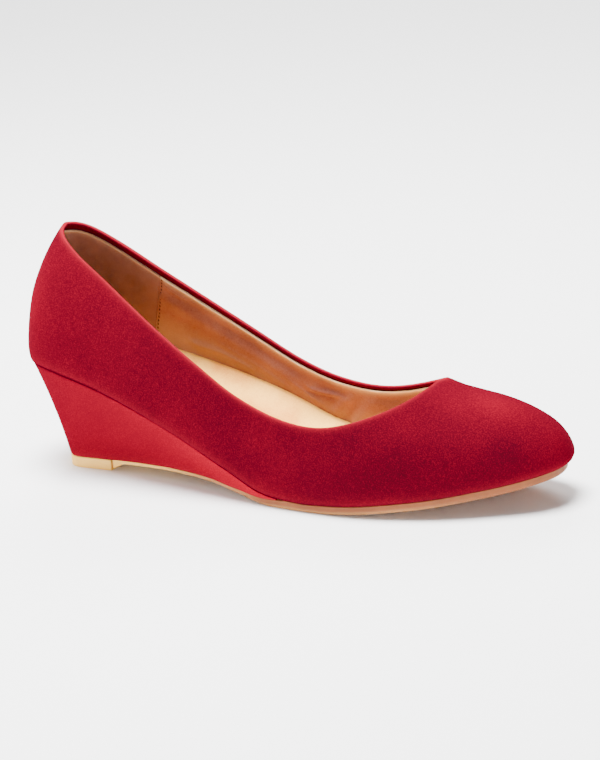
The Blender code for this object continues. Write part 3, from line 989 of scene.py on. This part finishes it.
def rubber_finish(name, dark, light, edge, heel):
    """Matt moulded rubber, a little mottled, paler low on its edge, with painted light on the strip under the
    arch, and with a fine fluted tread below.
    """
    made, place, shader = new_finish(name)
    cloud = place.noise(90, 4.0, 0.6).band(0.35, 0.68)
    grit = place.noise(1600, 3.0, 0.6)
    along = place.node("ShaderNodeSeparateXYZ", None, {"Vector": place}, out=0)
    facing = place.node("ShaderNodeNewGeometry", None, None, out=1)
    under = 1 - facing.node("ShaderNodeSeparateXYZ", None, {"Vector": facing}, out=2).band(-0.98, -0.9)
    flute = place.node("ShaderNodeTexWave", {"bands_direction": "X"}, {"Vector": place, "Scale": 130.0})
    tone = (cloud * 0.5 + grit * 0.5).dyed(dark, light)
    # The pale mark: paler low on the edge, and painted light on the strip under the arch.
    tone = tinted(mark_on(place, "pale") * 0.6, tone, edge)
    tone = tinted(1 - along.band(*BEIGE_END), tone, heel)
    tread = {"Strength": 0.35, "Distance": 0.0004, "Height": grit * 0.3 + flute * under}
    dress(shader, {
        "Base Color": tone,
        "Roughness": 0.60 + grit * 0.15,
        "Normal": place.node("ShaderNodeBump", None, tread),
        "Specular IOR Level": 0.35,
    })
    return made


HEEL_BEIGE = shade(250, 196, 96)
sole_spots, sole_pale = outsole_points()
outsole = laid_mesh("rubber_outsole", sole_spots, pale=sole_pale)
TAN_EDGE = shade(204, 146, 84)
tan_rubber = rubber_finish("tan_rubber", shade(114, 59, 26), shade(139, 75, 34), TAN_EDGE, HEEL_BEIGE)
outsole.data.materials.append(tan_rubber)
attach(outsole, "root")
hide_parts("outsole")


# The top piece is a block of pale hard rubber pinned under the wedge, straight at its front and
# rounded at its back corners, with its lower edges eased.
TOP_PIECE_EASE = 0.0005
TOP_PIECE_POINTS = 120
FRONT_SHARE = 0.25  # of the points, for the straight front


def top_piece_bm():
    """A disc drawn out to the top piece's outline, raised to its thickness and eased at its edges."""
    bm = bmesh.new()
    bmesh.ops.create_circle(bm, cap_ends=True, segments=TOP_PIECE_POINTS, radius=1)
    front = HEEL_UNDERCUT + TOP_PIECE_LENGTH
    for vert in bm.verts:
        angle = math.atan2(vert.co.y, vert.co.x)
        side = 1 if angle > 0 else -1
        share = abs(angle) / math.pi
        if share < FRONT_SHARE:
            vert.co = (front, side * TOP_PIECE_WIDTH / 2 * share / FRONT_SHARE, 0)
        else:
            reach = math.sin((1 - share) / (1 - FRONT_SHARE) * math.pi / 2) ** 2
            x = HEEL_UNDERCUT + TOP_PIECE_LENGTH * reach
            vert.co = (x, rounded_half_width(np.array([x]), side)[0], 0)
    bmesh.ops.translate(bm, verts=bm.verts[:], vec=SHOE_PLACE)
    made = bmesh.ops.extrude_face_region(bm, geom=bm.faces[:])
    top = [part for part in made["geom"] if isinstance(part, bmesh.types.BMVert)]
    bmesh.ops.translate(bm, verts=top, vec=(0, 0, TOP_PIECE_THICKNESS))
    sharp = [edge for edge in bm.edges if abs(edge.verts[0].co.z - edge.verts[1].co.z) < 0.0001]
    bmesh.ops.bevel(bm, geom=sharp, offset=TOP_PIECE_EASE, segments=4, profile=0.5, affect="EDGES")
    bmesh.ops.recalc_face_normals(bm, faces=bm.faces[:])
    return bm


top_piece = piece_of("heel_top_piece", top_piece_bm())
top_piece.data.set_sharp_from_angle(angle=math.radians(40))
BEIGE_DARK = shade(250, 196, 88)
BEIGE_LIGHT = shade(255, 208, 106)
beige_rubber = rubber_finish("beige_rubber", BEIGE_DARK, BEIGE_LIGHT, HEEL_BEIGE, HEEL_BEIGE)
top_piece.data.materials.append(beige_rubber)
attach(top_piece, "root")
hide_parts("top_piece")


# The shoe stands on a plain pale floor in soft studio light: a large lamp overhead gives most of it,
# and three weaker ones lighten the heel, the side and what is behind.
def floor_finish():
    """Matt pale paper."""
    made, place, shader = new_finish("pale_paper")
    paper = place.noise(3, 2.0).dyed(shade(244, 244, 244), shade(248, 248, 248))
    dress(shader, {"Base Color": paper, "Roughness": 0.9})
    return made


paper = bmesh.new()
bmesh.ops.create_grid(paper, x_segments=1, y_segments=1, size=4)
floor = piece_of("floor", paper)
floor.data.materials.append(floor_finish())

sky = bpy.data.worlds.new("studio")
sky.use_nodes = True
sky_light = sky.node_tree.nodes["Background"].inputs
sky_light["Color"].default_value = (1, 1, 1, 1)
sky_light["Strength"].default_value = 0.35
bpy.context.scene.world = sky

Lamp = namedtuple("Lamp", "name x y z wide power")
LAMPS = (
    Lamp("top_softbox", -0.15, -0.02, 1.20, 0.7, 82),
    Lamp("left_softbox", -1.20, -0.10, 0.50, 0.7, 10),
    Lamp("low_softbox", 0.05, -1.00, 0.14, 0.5, 7),
    Lamp("far_softbox", -0.90, 2.00, 1.50, 1.2, 75),
)
LAMP_TARGET = Vector((0, 0, 0.04))
for lamp in LAMPS:
    light = bpy.data.lights.new(lamp.name, "AREA")
    light.shape = "DISK"
    light.size = lamp.wide
    light.energy = lamp.power
    hung = bpy.data.objects.new(lamp.name, light)
    hung.location = (lamp.x, lamp.y, lamp.z)
    hung.rotation_euler = (LAMP_TARGET - hung.location).to_track_quat("-Z", "Y").to_euler()
    bpy.context.scene.collection.objects.link(hung)


# The camera looks down a little on the outer side, turned towards the toe and slightly rolled. It
# stands about a metre away, so the shoe fills most of the frame's width.
VIEW_AZIMUTH = math.radians(28.47)
VIEW_ELEVATION = math.radians(16.9)
VIEW_ROLL = math.radians(-3.78)
VIEW_DISTANCE = 1.04046
VIEW_FOCUS = 2542.52  # in pixels of a frame 760 high
VIEW_TARGET = Vector((0.00510, 0.00394, 0.04209))

lens = bpy.data.cameras.new("photo_camera")
lens.sensor_fit = "VERTICAL"
lens.sensor_height = 36
lens.lens = VIEW_FOCUS * 36 / 760
camera = bpy.data.objects.new("photo_camera", lens)
bpy.context.scene.collection.objects.link(camera)
sine, cosine = math.sin(VIEW_AZIMUTH), math.cos(VIEW_AZIMUTH)
away = Vector((sine * math.cos(VIEW_ELEVATION), -cosine * math.cos(VIEW_ELEVATION), math.sin(VIEW_ELEVATION)))
right = Vector((cosine, sine, 0))
above = away.cross(right)
turned = Matrix.Rotation(VIEW_ROLL, 3, away)
stand = Matrix((turned @ right, turned @ above, away)).transposed().to_4x4()
stand.translation = VIEW_TARGET + away * VIEW_DISTANCE
camera.matrix_world = stand
bpy.context.scene.camera = camera
